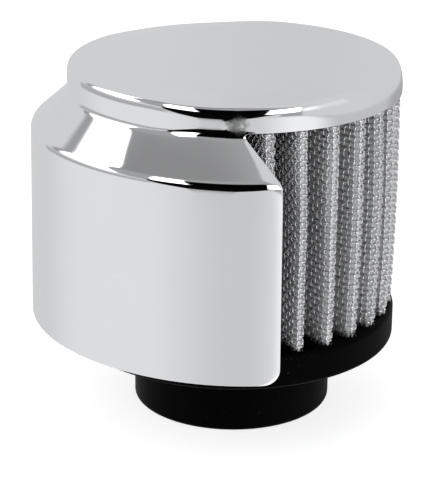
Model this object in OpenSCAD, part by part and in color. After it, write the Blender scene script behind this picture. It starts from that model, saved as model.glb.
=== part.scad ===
/* [Cap] */
// Outer diameter of the pressed cap
cap_d = 76.2; // [75.6:0.1:90]
// Height from the underside of the rubber ring to the top of the cap
body_h = 65.4; // [50:0.1:90]
// Thickness of the chromed steel sheet
sheet_t = 0.8; // [0.6:0.05:1]
// Outer radius of the corner between the cap's top and its rim
cap_corner_r = 2.7; // [1.6:0.1:3.5]
// Depth of the open rim below the cap's top
rim_depth = 6.6; // [6:0.1:9]

/* [Shield] */
// Angle that the skirt covers, seen from above
shield_span = 180; // [120:1:200]
// Angle by which each end of the skirt passes the end of its root on the rim
shield_flare = 9.8; // [2:0.1:14]
// Depth below the cap's top at which the sheet leaves the rim
shield_drop = 4.9; // [4.4:0.1:5.5]
// Distance that the skirt's top stands out from the rim
shield_reach = 8.4; // [6.5:0.1:12]
// Slope of the cone below the horizontal, in degrees
cone_angle = 45; // [35:1:52]
// Radius of the inside bend between rim and cone
root_bend_r = 3; // [2:0.1:3.5]
// Radius of the outside bend between cone and skirt
hip_bend_r = 2.4; // [1.5:0.1:3.5]
// Depth of the skirt's lower edge below the cap's top
shield_depth = 59.8; // [40:0.1:64]
// Angle by which the skirt opens downwards
skirt_draft = 0.9; // [0:0.1:3]
// Radius of the skirt's two lower corners
shield_corner_r = 3.5; // [1:0.1:8]

/* [Rubber base] */
// Distance by which the ring's side stands in from the cap's
ring_inset = 0.1; // [0:0.1:0.9]
// Height of that ring
ring_h = 7.8; // [6:0.1:12]
// Radius of the ring's upper outer edge
ring_top_r = 1.2; // [0.4:0.1:1.6]
// Radius of the ring's lower outer edge
ring_bottom_r = 0.8; // [0.3:0.1:1.6]
// Diameter of the neck's bore
bore_d = 38.1; // [25:0.1:40]
// Thickness of the neck's wall
neck_wall = 4.15; // [3:0.05:6]
// Length of the neck below the ring
neck_len = 17; // [10:0.5:40]
// Radius of the neck's lower outer edge
neck_edge_r = 0.8; // [0.3:0.1:1.5]
// Radius of the fillet where the neck meets the ring
neck_fillet_r = 1.5; // [0.5:0.1:3]
// Distance that the stop lip reaches into the bore
stop_w = 1.6; // [0.8:0.1:3]
// Height of the stop lip
stop_h = 2; // [1:0.1:3]

/* [Pleated pack] */
// Number of pleats
pleats = 30; // [24:1:33]
// Distance by which the outer folds stand in from the cap's side
pack_inset = 1; // [0.9:0.1:4]
// Distance by which the inner folds stand outside the neck's bore
pack_clear = 5.45; // [4:0.05:8]
// Angle from the middle of the shield to the nearest outer fold
pleat_phase = 4.6; // [0:0.1:12]
// Outer width of a fold
fold_w = 3.1; // [3:0.05:3.4]
// Thickness of one woven wire screen
screen_t = 0.4; // [0.3:0.02:0.44]
// Distance between neighbouring wires of the screens' cloth
wire_pitch = 1.27; // [1:0.01:1.6]
// Thickness of those wires
wire_d = 0.5; // [0.3:0.01:0.6]
// Height by which the wires stand proud round the outer folds
wire_proud = 0.15; // [0.05:0.01:0.25]
// Thickness of the gauze between the screens
gauze_t = 0.5; // [0.3:0.02:0.58]
// Length over which the pack's two ends lie side by side at the seam
seam_len = 3.2; // [2.4:0.1:3.6]
// Depth of the seam clip
clip_depth = 3; // [2:0.1:3.2]
// Thickness of the seam clip's strip
clip_t = 0.4; // [0.3:0.05:0.6]

/* [Fits] */
// Clearance between neighbouring layers of the pack
layer_gap = 0.03; // [0.01:0.01:0.06]
// Clearance round what is cast into rubber or potting
seat_gap = 0.03; // [0.01:0.01:0.08]
// Depth of the pack in the rubber ring
ring_seat = 4; // [2:0.1:5]
// Thickness of the end bond under the cap
bond_h = 4; // [3:0.1:5]
// Depth of the pack in the end bond
bond_seat = 2.5; // [1:0.1:2.8]

/* [Hidden] */
$fn = 96;
// How far a cutting shape runs past what it cuts
over = 1;

// Heights, from the neck's lower end up
ring_z = neck_len;
ring_top_z = ring_z + ring_h;
cap_top_z = ring_z + body_h;
bond_top_z = cap_top_z - sheet_t;
bond_z = bond_top_z - bond_h;
pack_z = ring_top_z - ring_seat;
pack_top_z = bond_z + bond_seat;

// Radii of the revolved pieces
cap_r = cap_d / 2;
skirt_r = cap_r + shield_reach;
ring_r = cap_r - ring_inset;
bore_r = bore_d / 2;
neck_r = bore_r + neck_wall;
pack_r = cap_r - pack_inset;
pack_inner_r = bore_r + pack_clear;

// A sheet's section is a path of [point on the outer face, normal there], seen from the cap's top down
bend_steps = 8;
function aim(a) = [cos(a), sin(a)];
function bend(centre, r, from, to) = [
    for (k = [0 : bend_steps])
        let (a = from + (to - from) * k / bend_steps) [centre + r * aim(a), aim(a)]
];
cone_normal = aim(90 - cone_angle);
skirt_normal = aim(skirt_draft);
root_centre = [cap_r + root_bend_r, -shield_drop];
cone_start = root_centre - root_bend_r * cone_normal;
hip_r = skirt_r - hip_bend_r * skirt_normal[0];
cone_end_r = hip_r + hip_bend_r * cone_normal[0];
cone_end = [cone_end_r, cone_start[1] - (cone_end_r - cone_start[0]) * tan(cone_angle)];
hip_centre = cone_end - hip_bend_r * cone_normal;
skirt_top = hip_centre + hip_bend_r * skirt_normal;
skirt_foot_r = skirt_top[0] + (skirt_top[1] + shield_depth) * tan(skirt_draft);
corner_centre = [cap_r - cap_corner_r, -cap_corner_r];
cap_path = concat(
    [[[0, 0], aim(90)]],
    bend(corner_centre, cap_corner_r, 90, 0),
    [[[cap_r, -rim_depth], aim(0)]]
);
shield_path = concat(
    [[[cap_r, -cap_corner_r], aim(0)]],
    bend(root_centre, -root_bend_r, 0, 90 - cone_angle),
    bend(hip_centre, hip_bend_r, 90 - cone_angle, skirt_draft),
    [[[skirt_foot_r, -shield_depth], skirt_normal]]
);

// The shield's plan: its root ends short of its skirt by the flare on each side
skirt_half = shield_span / 2;
root_half = skirt_half - shield_flare;
plan_far = 2 * skirt_r;

// The pack's layers lie at these distances outside its middle surface
pack_t = 2 * screen_t + gauze_t + 2 * layer_gap;
pack_face = pack_t / 2;
gauze_face = gauze_t / 2;

// Outer and inner folds are arcs of one radius, and the flanks are their common tangents
half_pitch = 180 / pleats;
fold_r = (fold_w - pack_t) / 2;
outer_fold_r = pack_r - fold_w / 2;
inner_fold_r = pack_inner_r + fold_w / 2;
outer_steps = 4;
inner_steps = 3;
fold_run = [inner_fold_r * sin(half_pitch), outer_fold_r - inner_fold_r * cos(half_pitch)];
flank_lean = atan2(fold_run[0], fold_run[1]) - asin(2 * fold_r / norm(fold_run));
outer_turn = 90 - flank_lean;
inner_turn = outer_turn - half_pitch;

// Upright wires round an outer fold: each rises from a groove and is flat between two shares of its width
fold_wires = 4;
wire_parts = [0, 0.3, 0.7];
flank_gaps = 2;
gap_w = wire_pitch - wire_d;
gap_reach = gauze_t;
gap_z = ring_top_z + wire_pitch;
gap_h = bond_z - wire_pitch - gap_z;

// The pack is an open path whose two ends lie side by side at the seam, behind the shield
seam_azimuth = pleat_phase - half_pitch;
seam_lead = pack_face + layer_gap / 2;
seam_bend = half_pitch + flank_lean;
function seam_bend_r(d) =
    (outer_fold_r * sin(flank_lean) + fold_r + d + (seam_lead - d) * cos(seam_bend)) / sin(seam_bend);
seam_end_r = seam_bend_r(0) - seam_len;
clip_half = seam_lead + pack_face + layer_gap + clip_t;
clip_r = seam_end_r - layer_gap - clip_t;

// Azimuth 0 is the middle of the shield at -Y, and +X is at 90
function toward(r, azimuth) = [r * sin(azimuth), -r * cos(azimuth)];
function outer_azimuth(i) = seam_azimuth + half_pitch * (2 * i + 1);
function inner_azimuth(i) = seam_azimuth + half_pitch * (2 * i + 2);
function fold_point(i, d, share) =
    toward(outer_fold_r, outer_azimuth(i)) + toward(fold_r + d, outer_azimuth(i) + outer_turn * share);
function plain_fold(i, d) = [for (k = [-outer_steps : outer_steps]) fold_point(i, d, k / outer_steps)];
function wired_fold(i, d) = concat(
    [
        for (k = [0 : fold_wires - 1], part = wire_parts)
            fold_point(i, d - (part == 0 ? wire_proud : 0), 2 * (k + part) / fold_wires - 1)
    ],
    [fold_point(i, d - wire_proud, 1)]
);
function outer_fold(i, d, wired) = wired ? wired_fold(i, d) : plain_fold(i, d);
function inner_fold(i, d) = [
    for (k = [-inner_steps : inner_steps])
        toward(inner_fold_r, inner_azimuth(i))
            - toward(fold_r - d, inner_azimuth(i) - inner_turn * k / inner_steps)
];
function seam_point(side, r, d) =
    toward(r, seam_azimuth) + side * toward(seam_lead - d, seam_azimuth + 90);
function seam_side(side, d) = [seam_point(side, seam_end_r, d), seam_point(side, seam_bend_r(d), d)];
function backwards(list) = [for (i = [len(list) - 1 : -1 : 0]) list[i]];
function folds(d, wired = false) = [
    for (i = [0 : pleats - 1]) each concat(outer_fold(i, d, wired), i < pleats - 1 ? inner_fold(i, d) : [])
];
function pack_path(d, wired = false) = concat(seam_side(1, d), folds(d, wired), backwards(seam_side(-1, d)));

// One layer of the pack between two distances from its middle surface, with ridges for its wires if wired
module pleated_layer(d_out, d_in, wired = false) {
    translate([0, 0, pack_z])
        linear_extrude(pack_top_z - pack_z)
            polygon(concat(pack_path(d_out, wired), backwards(pack_path(d_in))));
}

// The open gaps between the first upright wires on both flanks of every pleat
module mesh_gaps() {
    translate([0, 0, gap_z]) linear_extrude(gap_h)
        for (i = [0 : pleats - 1], side = [-1, 1], k = [1 : flank_gaps])
            translate(toward(outer_fold_r, outer_azimuth(i)))
                rotate(outer_azimuth(i) + side * outer_turn)
                    translate([side * k * wire_pitch - gap_w / 2, -fold_r - pack_face - gap_reach])
                        square([gap_w, screen_t + 2 * gap_reach]);
}

// The room that the pack and its clip take in what is cast round them
module pack_room(z, h) {
    room_face = pack_face + seat_gap;
    valley_r = (outer_fold_r * sin(flank_lean) + fold_r + room_face) / sin(seam_bend);
    translate([0, 0, z]) linear_extrude(h) {
        difference() {
            polygon(concat([toward(valley_r, seam_azimuth)], folds(room_face)));
            polygon(pack_path(-room_face));
        }
        rotate(seam_azimuth)
            translate([-clip_half - seat_gap, -clip_r - clip_depth - seat_gap])
                square([2 * (clip_half + seat_gap), clip_depth + 2 * seat_gap]);
    }
}

// A sheet's section between its outer face and the same path one thickness behind it
module sheet_section(path) {
    polygon(concat(
        [for (p = path) p[0]],
        backwards([for (p = path) p[0] - sheet_t * p[1]])
    ));
}

// What a rounded corner takes off a square one, with the corner at the origin and the metal at -x, -y
module corner_loss(r) {
    difference() {
        translate([-r, -r]) square(r + over);
        translate([-r, -r]) circle(r);
    }
}

module shield_plan() {
    polygon([
        [0, 0],
        toward(cap_r, root_half),
        toward(skirt_r, skirt_half),
        toward(plan_far, skirt_half),
        toward(plan_far, skirt_half / 2),
        toward(plan_far, 0),
        toward(plan_far, -skirt_half / 2),
        toward(plan_far, -skirt_half),
        toward(skirt_r, -skirt_half),
        toward(cap_r, -root_half)
    ]);
}

module shield_room(from, to) {
    translate([0, 0, -to]) linear_extrude(to - from) shield_plan();
}

// Rounds one lower corner of the skirt: side is 1 at the end towards +X and -1 at the other
module skirt_corner(side) {
    rotate([0, 0, side * skirt_half])
        translate([0, -skirt_r + hip_bend_r, -shield_depth])
            rotate([90, 0, 0])
                linear_extrude(shield_depth)
                    mirror([0, 1]) mirror([side > 0 ? 0 : 1, 0]) corner_loss(shield_corner_r);
}

module cap_shield() {
    color([0.86, 0.87, 0.88]) translate([0, 0, cap_top_z]) {
        difference() {
            rotate_extrude() sheet_section(cap_path);
            shield_room(shield_drop, rim_depth + over);
        }
        difference() {
            intersection() {
                rotate_extrude() sheet_section(shield_path);
                shield_room(0, shield_depth + over);
            }
            skirt_corner(1);
            skirt_corner(-1);
        }
    }
}

module end_bond() {
    bond_r = cap_r - sheet_t - seat_gap;
    color([0.2, 0.2, 0.21]) difference() {
        rotate_extrude() difference() {
            translate([0, bond_z]) square([bond_r, bond_h]);
            translate([bond_r, bond_top_z]) corner_loss(cap_corner_r - sheet_t + seat_gap);
        }
        pack_room(bond_z - over, bond_seat + over);
    }
}

module outer_screen() {
    color([0.66, 0.67, 0.69]) difference() {
        pleated_layer(pack_face, pack_face - screen_t, wired = true);
        mesh_gaps();
    }
}

module gauze_media() {
    color([0.9, 0.89, 0.85]) pleated_layer(gauze_face, -gauze_face);
}

module inner_screen() {
    color([0.6, 0.61, 0.63]) pleated_layer(screen_t - pack_face, -pack_face);
}

module seam_clip() {
    color([0.72, 0.72, 0.7]) translate([0, 0, pack_z]) rotate([0, 0, seam_azimuth])
        linear_extrude(pack_top_z - pack_z) difference() {
            translate([-clip_half, -clip_r - clip_depth]) square([2 * clip_half, clip_depth]);
            translate([clip_t - clip_half, -clip_r - clip_depth - over])
                square([2 * (clip_half - clip_t), clip_depth + over - clip_t]);
        }
}

module base_section() {
    lip_r = bore_r - stop_w;
    difference() {
        translate([lip_r, ring_z]) square([ring_r - lip_r, ring_h]);
        translate([ring_r, ring_top_z]) corner_loss(ring_top_r);
        translate([ring_r, ring_z]) mirror([0, 1]) corner_loss(ring_bottom_r);
        translate([lip_r - over, ring_z - over]) square([stop_w + over, ring_h - stop_h + over]);
    }
    difference() {
        translate([bore_r, 0]) square([neck_wall, ring_z + over]);
        translate([neck_r, 0]) mirror([0, 1]) corner_loss(neck_edge_r);
    }
    difference() {
        translate([neck_r - over, ring_z - neck_fillet_r]) square(neck_fillet_r + over);
        translate([neck_r + neck_fillet_r, ring_z - neck_fillet_r]) circle(neck_fillet_r);
    }
}

module rubber_base() {
    color([0.09, 0.09, 0.1]) difference() {
        rotate_extrude() base_section();
        pack_room(pack_z, ring_seat + over);
    }
}

cap_shield();
end_bond();
outer_screen();
gauze_media();
inner_screen();
seam_clip();
rubber_base();
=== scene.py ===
import bpy
import bmesh
import math
import numpy as np
from mathutils import Matrix, Vector


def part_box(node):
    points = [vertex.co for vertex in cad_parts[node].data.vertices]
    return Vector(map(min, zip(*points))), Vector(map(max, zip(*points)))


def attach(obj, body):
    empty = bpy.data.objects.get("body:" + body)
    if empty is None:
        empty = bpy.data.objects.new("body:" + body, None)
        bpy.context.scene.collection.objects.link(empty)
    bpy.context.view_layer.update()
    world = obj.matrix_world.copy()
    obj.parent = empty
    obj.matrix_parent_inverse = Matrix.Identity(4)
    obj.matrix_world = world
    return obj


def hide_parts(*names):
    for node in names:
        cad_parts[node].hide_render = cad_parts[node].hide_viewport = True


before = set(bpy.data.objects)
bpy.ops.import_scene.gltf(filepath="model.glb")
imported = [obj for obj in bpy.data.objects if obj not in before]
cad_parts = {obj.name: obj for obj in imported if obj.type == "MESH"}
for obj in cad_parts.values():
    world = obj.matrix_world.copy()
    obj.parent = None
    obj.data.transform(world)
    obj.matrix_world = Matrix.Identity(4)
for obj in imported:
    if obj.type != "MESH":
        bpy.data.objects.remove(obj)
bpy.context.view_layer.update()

# Rubber base
# One black nitrile moulding: the ring that the pleats are cast into, with the neck that clamps over a tube.
# Its sides are satin from the mould, with a fine grain and a little dust.

MM = 0.001
ring_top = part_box("rubber_base")[1][2]
rubber_black = (0.0005, 0.0005, 0.0005, 1)
rubber_bloom = (0.001, 0.0008, 0.0012, 1)
dust_grey = (0.35, 0.35, 0.37, 1)


class Link:
    """One socket of a node tree, so that sums on it are written as Python sums."""

    def __init__(self, tree, socket=None):
        self.tree = tree
        self.socket = socket

    def node(self, kind, settings=None, inputs=None, output=0):
        """A new node: its settings, then its sockets' values or links; a list joins several links."""
        made = self.tree.nodes.new(kind)
        for name, value in (settings or {}).items():
            setattr(made, name, value)
        for key, value in (inputs or {}).items():
            links = value if isinstance(value, list) else [value]
            if isinstance(links[0], Link):
                for link in links:
                    self.tree.links.new(link.socket, made.inputs[key])
            else:
                made.inputs[key].default_value = value
        return Link(self.tree, made.outputs[output]) if output is not None else None

    def math(self, operation, *others):
        return self.node("ShaderNodeMath", {"operation": operation}, dict(enumerate((self, *others))))

    def __add__(self, other):
        return self.math("ADD", other)

    __radd__ = __add__

    def __sub__(self, other):
        return self.math("SUBTRACT", other)

    def __rsub__(self, other):
        return self.node("ShaderNodeMath", {"operation": "SUBTRACT"}, {0: other, 1: self})

    def __mul__(self, other):
        return self.math("MULTIPLY", other)

    __rmul__ = __mul__

    def step(self, start, end):
        """0 before start and 1 after end, with a soft rise between; start may lie after end."""
        return self.node(
            "ShaderNodeMapRange",
            {"interpolation_type": "SMOOTHSTEP"},
            {"Value": self, "From Min": start, "From Max": end},
        )

    def mix(self, low, high):
        """The colour low where this is 0 and high where it is 1."""
        return self.node("ShaderNodeMix", {"data_type": "RGBA"}, {0: self, 6: low, 7: high}, 2)

    def part(self, index):
        return self.node("ShaderNodeSeparateXYZ", None, {0: self}, index)


def new_finish(name):
    """A material with an empty tree, and the tree as a Link to build on."""
    material = bpy.data.materials.new(name)
    material.use_nodes = True
    material.node_tree.nodes.clear()
    return material, Link(material.node_tree)


def close_finish(tree, sockets, bump=None):
    """Ends a finish: sockets go to the surface shader, and bump is (height, strength, distance)."""
    if bump:
        height, strength, distance = bump
        sockets["Normal"] = tree.node(
            "ShaderNodeBump", None, {"Height": height, "Strength": strength, "Distance": distance}
        )
    surface = tree.node("ShaderNodeBsdfPrincipled", None, sockets)
    tree.node("ShaderNodeOutputMaterial", None, {"Surface": surface}, None)


def object_place(tree):
    return tree.node("ShaderNodeTexCoord", output="Object")


def noise(tree, place, size, detail=2.0, rough=0.5):
    """Soft noise with lumps of about that size in metres."""
    sockets = {"Vector": place, "Scale": 1 / size, "Detail": detail, "Roughness": rough}
    return tree.node("ShaderNodeTexNoise", None, sockets)


def rubber_finish():
    material, tree = new_finish("black_rubber")
    place = object_place(tree)
    grain = noise(tree, place, 0.35 * MM, 3.0)
    cloud = noise(tree, place, 9 * MM)
    dust = noise(tree, place, 0.5 * MM, 1.0).step(0.75, 0.82) * cloud.step(0.45, 0.6)
    worn = cloud.mix(rubber_black, rubber_bloom)
    close_finish(
        tree,
        {
            "Base Color": (dust * 0.2).mix(worn, dust_grey),
            "Roughness": 0.36 + cloud * 0.12 + dust * 0.3,
            "Specular IOR Level": 0.022,
        },
        (grain, 0.25, 0.05 * MM),
    )
    return material


def dress(node, material):
    """Gives a CAD node one finish all over."""
    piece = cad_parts[node]
    piece.data.materials.clear()
    piece.data.materials.append(material)


dress("rubber_base", rubber_finish())

# Pleated pack
# A strip of cotton gauze between two of woven wire cloth, folded together into thirty pleats and closed into
# a ring by a clip at the seam. The outer folds bow out a little between the ring and the cap.

pleats = 30
half_pitch = 180 / pleats
pleat_phase = 4.6
outer_fold_r = 35.55 * MM
inner_fold_r = 26.05 * MM
fold_r = 0.87 * MM
pack_face = 0.68 * MM
pack_play = 0.015 * MM
seam_len = 3.2 * MM
pack_rows = 7
pack_low, pack_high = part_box("outer_screen")[0][2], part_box("outer_screen")[1][2]
bond_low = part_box("end_bond")[0][2]

fold_run = (
    inner_fold_r * math.sin(math.radians(half_pitch)),
    outer_fold_r - inner_fold_r * math.cos(math.radians(half_pitch)),
)
flank_lean = math.degrees(math.atan2(*fold_run) - math.asin(2 * fold_r / math.hypot(*fold_run)))
outer_turn = 90 - flank_lean
inner_turn = outer_turn - half_pitch
seam_azimuth = pleat_phase - half_pitch

# In millimetres, how far an outer fold stands out everywhere, more at its head, at half height, and as folds
# differ, and how far it leans in long and in short waves.
bow_all, bow_head, bow_middle, bow_uneven = 0.45, 0.25, 0.55, 0.07
lean_long, lean_short = 0.16, 0.08


def toward(r, azimuth):
    """The point at that radius and azimuth, seen from above: 0 is at -Y, and +X is at 90."""
    return np.array((r * math.sin(math.radians(azimuth)), -r * math.cos(math.radians(azimuth))))


def pleat_line(d, steps=7):
    """The pack's line seen from above, at distance d outside its middle, from one seam end to the other."""
    lead = pack_face + pack_play
    bend = math.radians(half_pitch + flank_lean)
    lean = math.radians(flank_lean)
    bend_r = (outer_fold_r * math.sin(lean) + fold_r + d + (lead - d) * math.cos(bend)) / math.sin(bend)
    end_r = (outer_fold_r * math.sin(lean) + fold_r + lead * math.cos(bend)) / math.sin(bend) - seam_len
    line = [toward(r, seam_azimuth) + toward(lead - d, seam_azimuth + 90) for r in (end_r, bend_r)]
    for i in range(pleats):
        outer = seam_azimuth + half_pitch * (2 * i + 1)
        for k in range(-steps, steps + 1):
            line.append(toward(outer_fold_r, outer) + toward(fold_r + d, outer + outer_turn * k / steps))
        inner = outer + half_pitch
        if i < pleats - 1:
            for k in range(-steps, steps + 1):
                turned = inner - inner_turn * k / steps
                line.append(toward(inner_fold_r, inner) - toward(fold_r - d, turned))
    line += [toward(r, seam_azimuth) - toward(lead - d, seam_azimuth + 90) for r in (bend_r, end_r)]
    return np.array(line)


def settle(mesh):
    """Bows the folds out between ring and cap and leans each a little, as hand-folded pleats stand."""
    co = np.empty(len(mesh.vertices) * 3, dtype=np.float32)
    mesh.vertices.foreach_get("co", co)
    co = co.reshape(-1, 3).astype(np.float64)
    r = np.hypot(co[:, 0], co[:, 1])
    azimuth = np.degrees(np.arctan2(co[:, 0], -co[:, 1]))
    depth = np.clip((r - inner_fold_r) / (outer_fold_r - inner_fold_r), 0, 1)
    share = depth * depth * (3 - 2 * depth)
    up = np.clip((co[:, 2] - ring_top) / (bond_low - ring_top), 0, 1)
    fold = np.round((azimuth - pleat_phase) / (2 * half_pitch))
    bow = bow_all + bow_head * up + bow_middle * np.sin(math.pi * up)
    bow = bow + bow_uneven * np.sin(2.1 * fold + 5 * up)
    lean = lean_long * np.sin(1.7 * fold + 4.2 * up) + lean_short * np.sin(4.1 * fold + 11 * up)
    out = co[:, :2] / np.maximum(r, 1e-9)[:, None]
    along = np.stack([-out[:, 1], out[:, 0]], 1)
    co[:, :2] += (share * bow * MM)[:, None] * out + (share * lean * MM)[:, None] * along
    mesh.vertices.foreach_set("co", co.astype(np.float32).ravel())
    mesh.update()


def add_piece(name, mesh, material, *replaced):
    """Puts a finished mesh in the scene as a piece on the root body."""
    mesh.materials.clear()
    mesh.materials.append(material)
    piece = bpy.data.objects.new(name, mesh)
    bpy.context.scene.collection.objects.link(piece)
    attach(piece, "root")
    if replaced:
        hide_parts(*replaced)
    return piece


def measured(line):
    """How far along the line each of its points is."""
    return np.concatenate([[0], np.cumsum(np.hypot(*np.diff(line, axis=0).T))])


def pleated_wall(name, d_out, d_in):
    """A pleated strip with its own thickness, mapped in metres of path and height, and its length."""
    outer, inner = pleat_line(d_out), pleat_line(d_in)
    run = measured((outer + inner) / 2)
    heights = np.linspace(pack_low, pack_high, pack_rows)
    loop = np.concatenate([outer, inner[::-1]])
    loop_run = np.concatenate([run, run[::-1]])
    count = len(loop)
    mesh = bpy.data.meshes.new(name)
    points = [(x, y, z) for z in heights for x, y in loop]
    faces = []
    for low in range(0, (pack_rows - 1) * count, count):
        for i in range(count):
            j = (i + 1) % count
            faces.append((low + i, low + j, low + count + j, low + count + i))
    top = (pack_rows - 1) * count
    half = len(outer)
    for i in range(half - 1):
        a, b, c, d = i, i + 1, count - 2 - i, count - 1 - i
        faces.append((d, c, b, a))
        faces.append((top + a, top + b, top + c, top + d))
    mesh.from_pydata(points, [], faces)
    layer = mesh.uv_layers.new(name="strip")
    for poly in mesh.polygons:
        for corner in poly.loop_indices:
            vertex = mesh.loops[corner].vertex_index
            layer.data[corner].uv = (loop_run[vertex % count], heights[vertex // count])
        poly.use_smooth = True
    settle(mesh)
    return mesh, run[-1]


# Inner wire screen
# The same twenty-mesh wire cloth on the inside of the pack, folded with it, which holds the gauze.
# Only its inner folds show, up through the neck, so its wires are a pattern in the finish, with the openings
# between them painted dark grey as painted shade.

wire_pitch = 1.27 * MM
inner_face, inner_back = -0.34 * MM, -0.66 * MM


def flat_cloth_finish():
    material, tree = new_finish("inner_wire_cloth")
    strip = tree.node("ShaderNodeUVMap", {"uv_map": "strip"})
    across = (strip.part(0) * (math.pi / wire_pitch)).math("SINE")
    upward = (strip.part(1) * (math.pi / wire_pitch)).math("SINE")
    wires = (across * across).math("MAXIMUM", upward * upward)
    # bare is 1 on the wires; between them the colour is a dark grey, painted shade standing in for the holes.
    bare = wires.step(0.35, 0.75)
    close_finish(
        tree,
        {
            "Base Color": bare.mix((0.10, 0.10, 0.10, 1), (0.55, 0.56, 0.57, 1)),
            "Metallic": bare,
            "Roughness": 0.75 - bare * 0.4,
        },
        (wires, 0.8, 0.25 * MM),
    )
    return material


inner_mesh, _ = pleated_wall("inner_cloth", inner_face, inner_back)
inner_cloth = add_piece("inner_cloth", inner_mesh, flat_cloth_finish(), "inner_screen")

# Gauze
# Open cotton gauze, laid between the two screens and folded with them. It shows between the wires.

gauze_face = 0.12 * MM
gauze_t = 0.10 * MM
gauze_thread = 0.42 * MM


def gauze_finish():
    material, tree = new_finish("cotton_gauze")
    strip = tree.node("ShaderNodeUVMap", {"uv_map": "strip"})
    fluff = noise(tree, object_place(tree), 1.2 * MM, 4.0, 0.7)
    across = (strip.part(0) * (math.pi / gauze_thread)).math("SINE").math("ABSOLUTE")
    upward = (strip.part(1) * (math.pi / gauze_thread)).math("SINE").math("ABSOLUTE")
    cover = (across.math("MAXIMUM", upward) + fluff * 0.5).step(0.75, 1.15)
    close_finish(
        tree,
        {
            "Base Color": cover.mix((0.72, 0.72, 0.72, 1), (0.93, 0.93, 0.94, 1)),
            "Roughness": 0.95,
        },
        (cover, 0.5, 0.1 * MM),
    )
    return material


gauze_mesh, gauze_run = pleated_wall("gauze_sheet", -gauze_face, -gauze_face - gauze_t)
gauze = add_piece("gauze_sheet", gauze_mesh, gauze_finish(), "gauze_media")

# Outer wire screen
# Twenty-mesh cloth of bright wire: upright wires side by side along the strip, each going over one level wire
# and under the next. Two upright wires lie on the crest of every outer fold.

wires_per_pleat = 20
wire_r = 0.22 * MM
level_wave = 0.14 * MM
upright_wave = 0.22 * MM
cloth_d = pack_face - wire_r - upright_wave
fold_steps = 24
steps_per_wire = 8
pleats_per_piece = 6
wire_sides = 4


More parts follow.
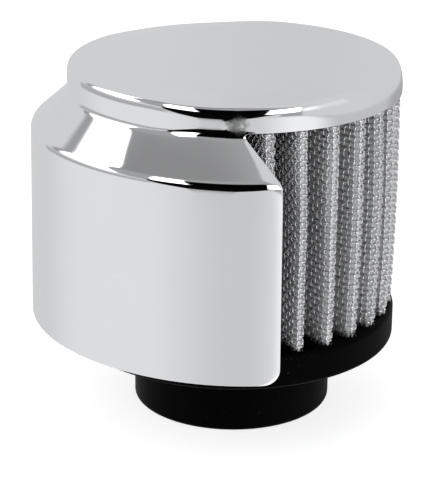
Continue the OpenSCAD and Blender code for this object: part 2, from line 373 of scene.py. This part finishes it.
def weave_tree(material):
    """Geometry nodes that weave level and upright wires along the strip's line."""
    tree = bpy.data.node_groups.new("wire_weave", "GeometryNodeTree")
    face = tree.interface
    face.new_socket("Line", in_out="INPUT", socket_type="NodeSocketGeometry")
    for name, kind in (
        ("Columns", "NodeSocketInt"),
        ("Rows", "NodeSocketInt"),
        ("Row spacing", "NodeSocketFloat"),
        ("First row", "NodeSocketFloat"),
        ("Level wave", "NodeSocketFloat"),
        ("Upright wave", "NodeSocketFloat"),
        ("Wire radius", "NodeSocketFloat"),
    ):
        face.new_socket(name, in_out="INPUT", socket_type=kind)
    face.new_socket("Cloth", in_out="OUTPUT", socket_type="NodeSocketGeometry")
    start = Link(tree)
    given = tree.nodes.new("NodeGroupInput")
    line, columns, rows, spacing, first, level_swing, upright_swing, radius = [
        Link(tree, s) for s in given.outputs[:8]
    ]
    upright = (0.0, 0.0, 1.0)

    def resampled(curve, count):
        return start.node("GeometryNodeResampleCurve", {"mode": "COUNT"}, {"Curve": curve, "Count": count})

    def scaled(vector, factor):
        return start.node("ShaderNodeVectorMath", {"operation": "SCALE"}, {0: vector, "Scale": factor})

    curve = start.node("GeometryNodeMeshToCurve", None, {"Mesh": line})
    tangent = start.node("GeometryNodeInputTangent")
    outward = start.node("ShaderNodeVectorMath", {"operation": "CROSS_PRODUCT"}, {0: tangent, 1: upright})
    count_along = start.node("GeometryNodeSplineParameter", output="Index")

    halves = resampled(curve, columns * 2 + 1)
    level = start.node("GeometryNodeDuplicateElements", {"domain": "SPLINE"}, {0: halves, "Amount": rows})
    row = Link(tree, level.socket.node.outputs[1])
    swing = ((count_along * 0.5 + row) * math.pi).math("COSINE") * level_swing
    lift = start.node("ShaderNodeCombineXYZ", None, {2: first + row * spacing})
    shift = start.node("ShaderNodeVectorMath", {"operation": "ADD"}, {0: scaled(outward, swing), 1: lift})
    level_wires = start.node("GeometryNodeSetPosition", None, {"Geometry": level, "Offset": shift})
    level_wires = start.node(
        "GeometryNodeStoreNamedAttribute",
        {"data_type": "FLOAT"},
        {"Geometry": level_wires, "Name": "level", "Value": 1.0},
    )

    posts = resampled(curve, columns + 1)
    posts = start.node(
        "GeometryNodeStoreNamedAttribute",
        {"data_type": "FLOAT_VECTOR"},
        {"Geometry": posts, "Name": "outward", "Value": outward},
    )
    posts = start.node(
        "GeometryNodeStoreNamedAttribute",
        {"data_type": "FLOAT"},
        {"Geometry": posts, "Name": "column", "Value": start.node("GeometryNodeInputIndex")},
    )
    low = start.node("ShaderNodeCombineXYZ", None, {2: first - spacing * 0.25})
    high = start.node("ShaderNodeCombineXYZ", None, {2: first + (rows - 0.75) * spacing})
    stick = start.node("GeometryNodeCurvePrimitiveLine", None, {"Start": low, "End": high})
    not_last = start.node(
        "FunctionNodeCompare",
        {"data_type": "INT", "operation": "LESS_THAN"},
        {2: start.node("GeometryNodeInputIndex"), 3: columns},
    )
    stood = start.node(
        "GeometryNodeInstanceOnPoints",
        None,
        {"Points": posts, "Selection": not_last, "Instance": resampled(stick, rows * 2)},
    )
    stood = start.node("GeometryNodeRealizeInstances", None, {"Geometry": stood})
    column = start.node("GeometryNodeInputNamedAttribute", {"data_type": "FLOAT"}, {"Name": "column"})
    side = start.node("GeometryNodeInputNamedAttribute", {"data_type": "FLOAT_VECTOR"}, {"Name": "outward"})
    crossed = (count_along * 0.5).math("FLOOR")
    swing = ((crossed + column) * math.pi).math("COSINE") * upright_swing * -1
    spread = ((count_along - crossed * 2) - 0.5) * (spacing * 0.2)
    flat = start.node("ShaderNodeCombineXYZ", None, {2: spread})
    shift = start.node("ShaderNodeVectorMath", {"operation": "ADD"}, {0: scaled(side, swing), 1: flat})
    upright_wires = start.node("GeometryNodeSetPosition", None, {"Geometry": stood, "Offset": shift})

    both = start.node("GeometryNodeJoinGeometry", None, {"Geometry": [level_wires, upright_wires]})
    ring = start.node("GeometryNodeCurvePrimitiveCircle", None, {"Resolution": wire_sides, "Radius": radius})
    tube = start.node(
        "GeometryNodeCurveToMesh", None, {"Curve": both, "Profile Curve": ring, "Fill Caps": True}
    )
    tube = start.node("GeometryNodeSetShadeSmooth", None, {"Geometry": tube})
    tube = start.node("GeometryNodeRealizeInstances", None, {"Geometry": tube})
    tube = start.node("GeometryNodeSetMaterial", None, {"Geometry": tube, "Material": material})
    start.node("NodeGroupOutput", None, {0: tube}, None)
    return tree


def wire_finish():
    """Bright wire with rubber crept up its foot; the level wires are painted darker towards the inner folds,
    as painted shade in the flanks.
    """
    material, tree = new_finish("bright_wire")
    place = object_place(tree)
    cloud = noise(tree, place, 5 * MM)
    fleck = noise(tree, place, 0.6 * MM, 3.0)
    ragged = noise(tree, place, 2.5 * MM, 3.0) * (1.6 * MM)
    creep = (place.part(2) + ragged).step(ring_top + 1.9 * MM, ring_top + 1.4 * MM)
    bright = (cloud * 0.5 + fleck * 0.5).mix((0.85, 0.85, 0.86, 1), (0.97, 0.97, 0.98, 1))
    level = tree.node("ShaderNodeAttribute", {"attribute_name": "level"}, output=2)
    flat = tree.node("ShaderNodeVectorMath", {"operation": "MULTIPLY"}, {0: place, 1: (1, 1, 0)})
    radius = tree.node("ShaderNodeVectorMath", {"operation": "LENGTH"}, {0: flat}, 1)
    # Painted shade: the level wires are painted a darker grey away from the outer crests, down the flanks and
    # into the inner folds.
    dull_and_painted_shade = level * radius.step(outer_fold_r + 1.2 * MM, outer_fold_r - 0.6 * MM)
    bright = dull_and_painted_shade.mix(bright, (0.60, 0.60, 0.60, 1))
    close_finish(
        tree,
        {
            "Base Color": creep.mix(bright, (0.004, 0.004, 0.004, 1)),
            "Metallic": 1.0 - creep,
            "Roughness": 0.1 + fleck * 0.14,
        },
    )
    return material


def weave_screen():
    """Weaves the cloth in pieces of a few pleats each, so that no mesh grows too large."""
    line = pleat_line(cloth_d, fold_steps)
    run = measured(line)
    crest = [2 + fold_steps + i * 2 * (2 * fold_steps + 1) for i in (0, 1)]
    pleat_run = run[crest[1]] - run[crest[0]]
    pitch = pleat_run / wires_per_pleat
    lead = math.floor(run[crest[0]] / pitch - 0.5)
    start = run[crest[0]] - (lead + 0.5) * pitch
    columns = (pleats - 1) * wires_per_pleat + 2 * lead + 1
    rows = int((bond_low - ring_top) / wire_pitch) + 2
    first = (bond_low + ring_top) / 2 - (rows - 1) * wire_pitch / 2
    finish = wire_finish()
    tree = weave_tree(finish)
    keys = {s.name: s.identifier for s in tree.interface.items_tree if s.in_out == "INPUT"}
    per_piece = pleats_per_piece * wires_per_pleat
    made = []
    for low in range(0, columns, per_piece):
        high = min(columns, low + per_piece)
        at = np.linspace(start + low * pitch, start + high * pitch, (high - low) * steps_per_wire + 1)
        points = [(np.interp(s, run, line[:, 0]), np.interp(s, run, line[:, 1]), 0.0) for s in at]
        mesh = bpy.data.meshes.new("line")
        mesh.from_pydata(points, [(i, i + 1) for i in range(len(points) - 1)], [])
        strip = bpy.data.objects.new("line", mesh)
        bpy.context.scene.collection.objects.link(strip)
        weave = strip.modifiers.new("weave", "NODES")
        weave.node_group = tree
        for name, value in {
            "Columns": high - low,
            "Rows": rows,
            "Row spacing": wire_pitch,
            "First row": first,
            "Level wave": level_wave,
            "Upright wave": upright_wave,
            "Wire radius": wire_r,
        }.items():
            weave[keys[name]] = value
        seen = bpy.context.evaluated_depsgraph_get()
        cloth = bpy.data.meshes.new_from_object(strip.evaluated_get(seen))
        bpy.data.objects.remove(strip)
        for name in ("outward", "column"):
            if name in cloth.attributes:
                cloth.attributes.remove(cloth.attributes[name])
        settle(cloth)
        cloth.name = "wire_cloth_%d" % (len(made) + 1)
        made.append(add_piece(cloth.name, cloth, finish))
    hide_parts("outer_screen")
    return made


weave_screen()

# Seam clip
# A strip of plain rolled steel, folded to a channel and pressed over the two ends of the pack on its inside,
# where they meet.


def clip_finish():
    material, tree = new_finish("plain_strip")
    place = object_place(tree)
    long = tree.node("ShaderNodeMapping", None, {"Vector": place, "Scale": (1, 1, 0.04)})
    drawn = noise(tree, long, 0.3 * MM)
    close_finish(
        tree,
        {
            "Base Color": drawn.mix((0.45, 0.45, 0.44, 1), (0.62, 0.62, 0.6, 1)),
            "Metallic": 1.0,
            "Roughness": 0.3 + drawn * 0.25,
        },
    )
    return material


dress("seam_clip", clip_finish())

# End bond
# Dark urethane, poured into the cap a few millimetres deep. The pleats' upper end is set in it while it is
# liquid, which seals the pack to the cap.


def potting_finish():
    material, tree = new_finish("potting")
    cloud = noise(tree, object_place(tree), 3 * MM, 3.0)
    close_finish(
        tree,
        {
            "Base Color": cloud.mix((0.025, 0.025, 0.028, 1), (0.05, 0.05, 0.055, 1)),
            "Roughness": 0.4 + cloud * 0.3,
        },
        (cloud, 0.3, 0.3 * MM),
    )
    return material


dress("end_bond", potting_finish())

# Cap with rain shield
# One pressing of steel sheet, chromed all over. On one half the sheet leaves the rim through an inside bend,
# runs out as a cone and turns down into the skirt. Its cut edges are tumbled round.

cap_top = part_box("cap_shield")[1][2]
sheet_t = 0.8 * MM
cap_r = 38.1 * MM
rim_depth = 6.4 * MM
cone_drop = 6.14 * MM
skirt_r = 46.5 * MM
skirt_drop = 59.4 * MM
ends_drop = 0.9 * MM
cone_angle = math.radians(45)
hollow = math.radians(2.0)
draft = math.radians(0.9)
root_half = 80.2
skirt_half = 90.0
foot_corner_r = 3.5 * MM
notch_r = 1.0 * MM
edge_roll = 0.4 * MM
edge_round = 0.18 * MM
half_columns = 64


def smooth(value, start, end):
    """0 up to start and 1 from end on, with a soft rise between."""
    t = min(1.0, max(0.0, (value - start) / (end - start)))
    return t * t * (3 - 2 * t)


def arc_path(centre, r, start, end, steps):
    """Points and normals along an arc of the sheet's section; a negative r is an inside bend."""
    return [
        (centre[0] + r * math.cos(a), centre[1] + r * math.sin(a), math.cos(a), math.sin(a))
        for a in np.linspace(start, end, steps + 1)
    ]


def straight_path(start, end, normal, shares):
    """Points at those shares of a straight part of the section, all with one normal."""
    return [
        (start[0] + (end[0] - start[0]) * t, start[1] + (end[1] - start[1]) * t, *normal) for t in shares
    ]


def sheet_section(aside):
    """The section from the cap's middle to the skirt's foot, aside degrees from the shield's middle.

    Where the press drew the shield out, the disc's edge fell a little and its corner is tighter. The bends
    are wider towards the ends of the shield, which hang a little lower. The cone is drawn slightly hollow.
    ends is 1 at the shield's two ends, and plain is 1 behind, where the cap has no shield."""
    ends = smooth(aside, 45, 78) * smooth(aside, 112, 86)
    plain = smooth(aside, 92, 122)
    fall = (0.55 + 0.25 * smooth(aside, 45, 65)) * (1 - plain) * MM
    corner_wide = (1.0 + 0.4 * ends + 0.9 * plain) * MM
    corner_high = (2.1 + 0.5 * ends + 3.2 * plain) * MM
    root_r = (2.1 + 1.1 * ends) * MM
    hip_r = (2.4 + 0.6 * ends) * MM
    drop = ends_drop * smooth(aside, 22, 92)
    root_low = 0.7 * MM * smooth(aside, 66, 48)
    bend = math.tan(cone_angle / 2)
    root_drop = cone_drop + drop + root_low - root_r * bend
    foot_drop = skirt_drop + drop
    corner = (cap_r - corner_wide, -corner_high - fall)
    root = (cap_r + root_r, -root_drop)
    wall = (math.cos(draft), math.sin(draft))
    hip = (skirt_r - hip_r * wall[0], -(cone_drop + drop + skirt_r - cap_r) - hip_r * bend)

    # The cone's own angle depends on where the two bends let it go, so it is found in a few rounds.
    middle = cone_angle
    for _ in range(4):
        upper, lower = middle - hollow, middle + hollow
        cone_from = (root[0] - root_r * math.cos(upper), root[1] - root_r * math.sin(upper))
        cone_to = (hip[0] + hip_r * math.cos(lower), hip[1] + hip_r * math.sin(lower))
        middle = math.atan2(cone_to[0] - cone_from[0], cone_from[1] - cone_to[1])
    cone_len = math.hypot(cone_to[0] - cone_from[0], cone_to[1] - cone_from[1])
    cone_r = cone_len / (2 * math.sin((lower - upper) / 2))
    cone = (cone_from[0] + cone_r * math.cos(upper), cone_from[1] + cone_r * math.sin(upper))
    skirt_from = (hip[0] + hip_r * wall[0], hip[1] + hip_r * wall[1])
    skirt_to = (skirt_from[0] + (skirt_from[1] + foot_drop) * math.tan(draft), -foot_drop)

    cap = straight_path((0, 0), (corner[0], 0), (0, 1), (0.3, 0.6, 0.8, 0.83, 0.86, 0.89, 0.92, 0.95, 0.98))
    cap = [(r, z - fall * smooth(r / cap_r, 0.78, 0.96), nr, nz) for r, z, nr, nz in cap]
    for x, z, nx, nz in arc_path((0, 0), 1, math.pi / 2, 0, 20):
        cap.append((corner[0] + corner_wide * x, corner[1] + corner_high * z, nx, nz))
    cap += straight_path((cap_r, corner[1]), (cap_r, -root_drop), (1, 0), (0.25, 0.5, 0.75, 1))
    beside = math.asin((rim_depth - root_drop) / root_r)
    rim = arc_path(root, -root_r, 0, beside, 6)[1:]
    shield = arc_path(root, -root_r, beside, upper, 8)[1:]
    shield += arc_path(cone, -cone_r, upper, lower, 12)[1:]
    shield += arc_path(hip, hip_r, lower, draft, 16)[1:]
    foot_len = skirt_from[1] - skirt_to[1]
    turn = [1 - foot_corner_r * (1 - math.sin(a)) / foot_len for a in np.linspace(0, math.pi / 2, 9)]
    steps = np.concatenate([np.linspace(0.02, turn[0] - 0.02, 12), turn])
    shield += straight_path(skirt_from, skirt_to, wall, steps)
    kinds = ["cap"] * len(cap) + ["rim"] * len(rim) + ["shield"] * len(shield)
    return list(zip(cap + rim + shield, kinds))


def shield_edge(r):
    """Half the angle that the shield covers at radius r: its cut edge is straight, seen from above."""
    if r >= skirt_r:
        return math.radians(skirt_half)
    a, b = toward(cap_r, root_half), toward(skirt_r, skirt_half)
    run = b - a
    k = (np.dot(a, run), np.dot(run, run), np.dot(a, a) - r * r)
    t = (-k[0] + math.sqrt(max(k[0] ** 2 - k[1] * k[2], 0))) / k[1]
    x, y = a + run * max(t, 0)
    return math.atan2(x, -y)


def edge_notch(kind, past, z):
    """How far out the shield's cut edge lies there: it runs into the rim on a small radius."""
    if kind != "shield":
        return notch_r * smooth(-z, 3.5 * MM, rim_depth)
    if past < notch_r:
        return notch_r - math.sqrt(notch_r ** 2 - (notch_r - past) ** 2)
    return 0.0


def press_sheet():
    """The outer face of the sheet as one grid, before it gets its thickness.

    The columns lie closer towards the shield's cut edges, which the press rolled in a little. The grid's back
    columns have the cap and its rim alone, and end where the shield begins. past is the way along the section
    from there, and open_cut goes from 0 at the rim to 1 at the skirt."""
    mesh = bmesh.new()
    t = np.linspace(-1, 1, 2 * half_columns + 1)
    shares = np.sign(t) * (1 - (1 - np.abs(t)) ** 1.25)
    back = np.linspace(0, 1, 2 * half_columns + 1)[1:-1]
    front_sections = [sheet_section(abs(share) * root_half) for share in shares]
    back_sections = [sheet_section(180 - (180 - root_half) * abs(2 * share - 1)) for share in back]
    end_section = front_sections[0]
    foot_z = end_section[-1][0][1]
    middle = mesh.verts.new((0, 0, cap_top))
    rows = []
    past = 0.0
    before = None
    for level, ((r, z, _, _), kind) in enumerate(end_section):
        if before is not None:
            past = past + math.hypot(r - before[0], z - before[1]) if kind == "shield" else 0.0
        before = (r, z)
        half = shield_edge(max(r, cap_r)) + edge_notch(kind, past, z) / max(r, cap_r)
        above_foot = z - foot_z
        if above_foot < foot_corner_r:
            left = foot_corner_r - above_foot
            half -= (foot_corner_r - math.sqrt(max(foot_corner_r ** 2 - left ** 2, 0))) / r
        open_cut = min(1.0, max(0.0, (r - cap_r) / (skirt_r - cap_r)))
        below_hip = smooth(-z, 14.5 * MM, 18.5 * MM)
        roll_w = (1.3 + 2.6 * open_cut) * MM * (1 - below_hip) + 1.6 * MM * below_hip
        roll = edge_roll * (0.35 + 0.65 * open_cut) * (1 - 0.7 * below_hip) * smooth(past, 0, notch_r)
        row = []
        for share, section in zip(shares, front_sections):
            r, z, nr, nz = section[level][0]
            a = share * half
            gap = (1 - abs(share)) * half * r
            drop = roll * max(0.0, 1 - gap / roll_w) ** 2
            rr, zz = r - nr * drop, z - nz * drop
            row.append(mesh.verts.new((rr * math.sin(a), -rr * math.cos(a), cap_top + zz)))
        if kind != "shield":
            for share, section in zip(back, back_sections):
                r, z, _, _ = section[level][0]
                a = half + (2 * math.pi - 2 * half) * share
                aside = min(share, 1 - share) * (2 * math.pi - 2 * half)
                blend = smooth(aside, math.radians(5.5), 0)
                rr = cap_r + (r - cap_r) * blend if kind == "rim" else r
                row.append(mesh.verts.new((rr * math.sin(a), -rr * math.cos(a), cap_top + z)))
        rows.append(row)
    for a, b in zip(rows[0], rows[0][1:] + rows[0][:1]):
        mesh.faces.new((middle, a, b))
    for upper, lower in zip(rows, rows[1:]):
        closed = len(lower) > len(shares)
        for i in range(len(lower) if closed else len(lower) - 1):
            j = (i + 1) % len(lower)
            mesh.faces.new((upper[i], lower[i], lower[j], upper[j]))
    made = bpy.data.meshes.new("chromed_cap")
    mesh.to_mesh(made)
    mesh.free()
    for poly in made.polygons:
        poly.use_smooth = True
    return made


def chrome_finish():
    """Mirror plate with a faint ripple, crumpled and dull in one spot of the rim above each notch."""
    material, tree = new_finish("chrome_plate")
    place = object_place(tree)
    haze = noise(tree, place, 14 * MM, 3.0)
    ripple = noise(tree, place, 11 * MM, 0.0)
    spot = (*toward(cap_r, root_half - 1.8), cap_top - 4.6 * MM)
    both_sides = tree.node(
        "ShaderNodeCombineXYZ", None, {0: place.part(0).math("ABSOLUTE"), 1: place.part(1), 2: place.part(2)}
    )
    away = tree.node("ShaderNodeVectorMath", {"operation": "DISTANCE"}, {0: both_sides, 1: spot}, 1)
    pucker = away.step(4.0 * MM, 0.6 * MM) * noise(tree, place, 1.5 * MM, 1.0)
    dull_and_painted_shade = pucker.step(0.1, 0.55)
    bright = haze.mix((0.93, 0.93, 0.935, 1), (0.96, 0.96, 0.965, 1))
    close_finish(
        tree,
        {
            "Base Color": dull_and_painted_shade.mix(bright, (0.45, 0.45, 0.45, 1)),
            "Metallic": 1.0,
            "Roughness": 0.03 + haze * 0.03 + dull_and_painted_shade * 0.25,
        },
        (ripple * 0.02 + pucker * 0.3, 1.0, 0.3 * MM),
    )
    return material


cap = add_piece("chromed_cap", press_sheet(), chrome_finish(), "cap_shield")
wall = cap.modifiers.new("sheet", "SOLIDIFY")
wall.thickness = sheet_t
wall.offset = -1
wall.use_even_offset = True
edge = cap.modifiers.new("tumbled_edge", "BEVEL")
edge.width = edge_round
edge.segments = 3
edge.limit_method = "ANGLE"
edge.angle_limit = math.radians(50)
edge.harden_normals = False

# Floor
# A plain white table, a tenth of a millimetre under the neck. It lights up like the tent round it, and the
# bright metal mirrors the tent alone.

table_half = 1.2
table_z = -0.1 * MM


def add_floor():
    mesh = bpy.data.meshes.new("table")
    corners = [(x * table_half, y * table_half, table_z) for x, y in ((-1, -1), (1, -1), (1, 1), (-1, 1))]
    mesh.from_pydata(corners, [], [(0, 1, 2, 3)])
    table = bpy.data.objects.new("table", mesh)
    bpy.context.scene.collection.objects.link(table)
    material, tree = new_finish("white_table")
    soft = noise(tree, object_place(tree), 0.2)
    close_finish(
        tree,
        {
            "Base Color": soft.mix((0.58, 0.58, 0.58, 1), (0.6, 0.6, 0.6, 1)),
            "Roughness": 0.8,
            "Emission Color": (1, 1, 1, 1),
            "Emission Strength": 0.76,
        },
    )
    mesh.materials.append(material)
    table.visible_glossy = False


add_floor()

# Studio
# A white tent with a dark opening behind the camera, a soft light on each side of it and a large one to the
# left. The tent is the world, by direction; the camera itself sees plain white.

view_azimuth = 77.2
tent_light = 0.64
box_light = 3.0
large_light = 1.6
opening_dark = 0.997


def within(value, low, high, soft):
    """1 from low to high and 0 outside them, with a soft edge."""
    return value.step(low - soft, low + soft) * value.step(high + soft, high - soft)


def tent_walls(near, sideways, turn, rise):
    """White cloth with its shaded parts, the large light on the left and a weak long one on the right."""
    seam = sideways.step(-0.06, 0.03) * 0.04 - sideways.step(0.04, 0.09) * 0.02 - 0.01
    light = tent_light - seam * near.step(0, -0.5)

    large_left = turn + rise * 0.445
    large_right = turn + rise * 1.04
    large_top = rise - turn * 0.63
    frame_shade = within(large_left, -115.5, -107.5, 2.5) * rise.step(6, 12) * rise.step(46, 38)
    light = light - frame_shade * 0.30
    foot_shade = within(turn, -125, -45, 3) * rise.step(9, 3)
    light = light - foot_shade * 0.22

    steep = rise - turn * 0.2
    ceiling = large_right.step(-46, -42) * turn.step(60, 36) * rise.step(13, 17)
    light = light - ceiling * steep.step(94, 84) * (0.28 + steep.step(64, 80) * 0.09)
    across = large_left.step(-109, -103) * large_right.step(-42.5, -45.5)
    large = across * turn.step(-66, -70) * rise.step(12, 18)
    light = light + large * large_top.step(125, 122) * large_light

    box_shade = within(turn, 30, 46, 1.5) * within(rise, -8, 16, 2.5)
    light = light - box_shade * 0.28
    return light + within(turn, 47.5, 84, 2) * within(rise, 10, 26, 5) * (0.1 + turn.step(66, 50) * 0.4)


def dark_opening(turn, rise):
    """Where the camera looks in: widest at 14 to 32 degrees up, and narrower below and above."""
    below = (14 - rise).math("MAXIMUM", 0)
    above = (rise - 32).math("MAXIMUM", 0)
    narrow = below * below * 0.026 + above * above * 0.03
    left_side = (-11.5 - turn) + narrow
    right_side = (turn + 11.5) + narrow - rise.step(0, 10) * 8
    return left_side.math("MAXIMUM", right_side).step(37.5, 34.5) * rise.step(-18, -14) * rise.step(50, 44)


def table_light(turn, rise):
    """What the metal mirrors below: the table, brighter near the lights and under the part."""
    light = 0.60 + turn.step(0, -50) * 0.16 - turn.step(-92, -136) * 0.12
    light = light + turn.step(8, 44) * 0.30 - (turn + rise * 3).step(2, 26) * 0.36
    light = light - turn.step(120, 140) * 0.14
    return light + rise.step(-26, -34) * 0.25


def studio():
    """The tent's light by direction: turn goes round from the camera to its right, and rise goes up."""
    world = bpy.data.worlds.new("tent")
    bpy.context.scene.world = world
    world.use_nodes = True
    world.node_tree.nodes.clear()
    tree = Link(world.node_tree)
    look = tree.node("ShaderNodeTexCoord", output="Generated")
    x, y, z = look.part(0), look.part(1), look.part(2)
    a = math.radians(view_azimuth)
    near = x * math.sin(a) - y * math.cos(a)
    sideways = x * math.cos(a) + y * math.sin(a)
    turn = sideways.math("ARCTAN2", near) * (180 / math.pi)
    rise = z.math("ARCSINE") * (180 / math.pi)

    opening = dark_opening(turn, rise)
    light = tent_walls(near, sideways, turn, rise) * (1 - opening * opening_dark)
    left_box = within(turn + rise * 0.3, -39.3, -17.3, 1.5) * within(rise, 20, 53, 2.5)
    right_box = within(turn - rise * 0.2, 18.5, 42.5, 1.5) * within(rise, 10, 39, 2)
    for box in (left_box, right_box):
        light = light * (1 - box) + box * box_light
    under = rise.step(-8, -14) * (1 - opening)
    light = light * (1 - under) + under * table_light(turn, rise)

    to_camera = tree.node("ShaderNodeLightPath", output="Is Camera Ray")
    grey = tree.node("ShaderNodeCombineColor", None, {0: light * 0.99, 1: light * 0.997, 2: light * 1.008})
    shown = to_camera.mix(grey, (1, 1, 1, 1))
    tent = tree.node("ShaderNodeBackground", None, {"Color": shown, "Strength": 1.0})
    tree.node("ShaderNodeOutputWorld", None, {"Surface": tent}, None)


studio()

# Camera
# It stands where the photograph was taken from: a little above the cap, looking down at the shield's open
# side with a long lens.

camera_distance = 443.36 * MM
camera_lens = 136.38
camera_sensor = 36
view_elevation = 18.77
view_tilt = view_elevation + 1.814
view_swing = -0.444
view_roll = 0.5
aim_below_top = 32 * MM


def add_camera():
    elevation, tilt = math.radians(view_elevation), math.radians(view_tilt)
    swing, roll = math.radians(view_swing), math.radians(view_roll)
    aim_z = cap_top - aim_below_top
    back, high = camera_distance * math.cos(elevation), camera_distance * math.sin(elevation)
    place = Vector((0, -back, aim_z + high))
    forward = Vector((math.sin(swing) * math.cos(tilt), math.cos(swing) * math.cos(tilt), -math.sin(tilt)))
    level = Vector((math.cos(swing), -math.sin(swing), 0))
    up = level.cross(forward)
    right = level * math.cos(roll) + up * math.sin(roll)
    up = up * math.cos(roll) - level * math.sin(roll)
    turn = Matrix.Rotation(math.radians(view_azimuth), 4, "Z")
    pose = Matrix.Identity(4)
    for column, axis in enumerate((right, up, -forward, place)):
        for row in range(3):
            pose[row][column] = axis[row]
    data = bpy.data.cameras.new("camera")
    data.sensor_width = camera_sensor
    data.lens = camera_lens
    data.clip_start = 0.01
    camera = bpy.data.objects.new("camera", data)
    camera.matrix_world = turn @ pose
    bpy.context.scene.collection.objects.link(camera)
    bpy.context.scene.camera = camera


add_camera()
bpy.context.scene.view_settings.view_transform = "Standard"
bpy.context.view_layer.update()
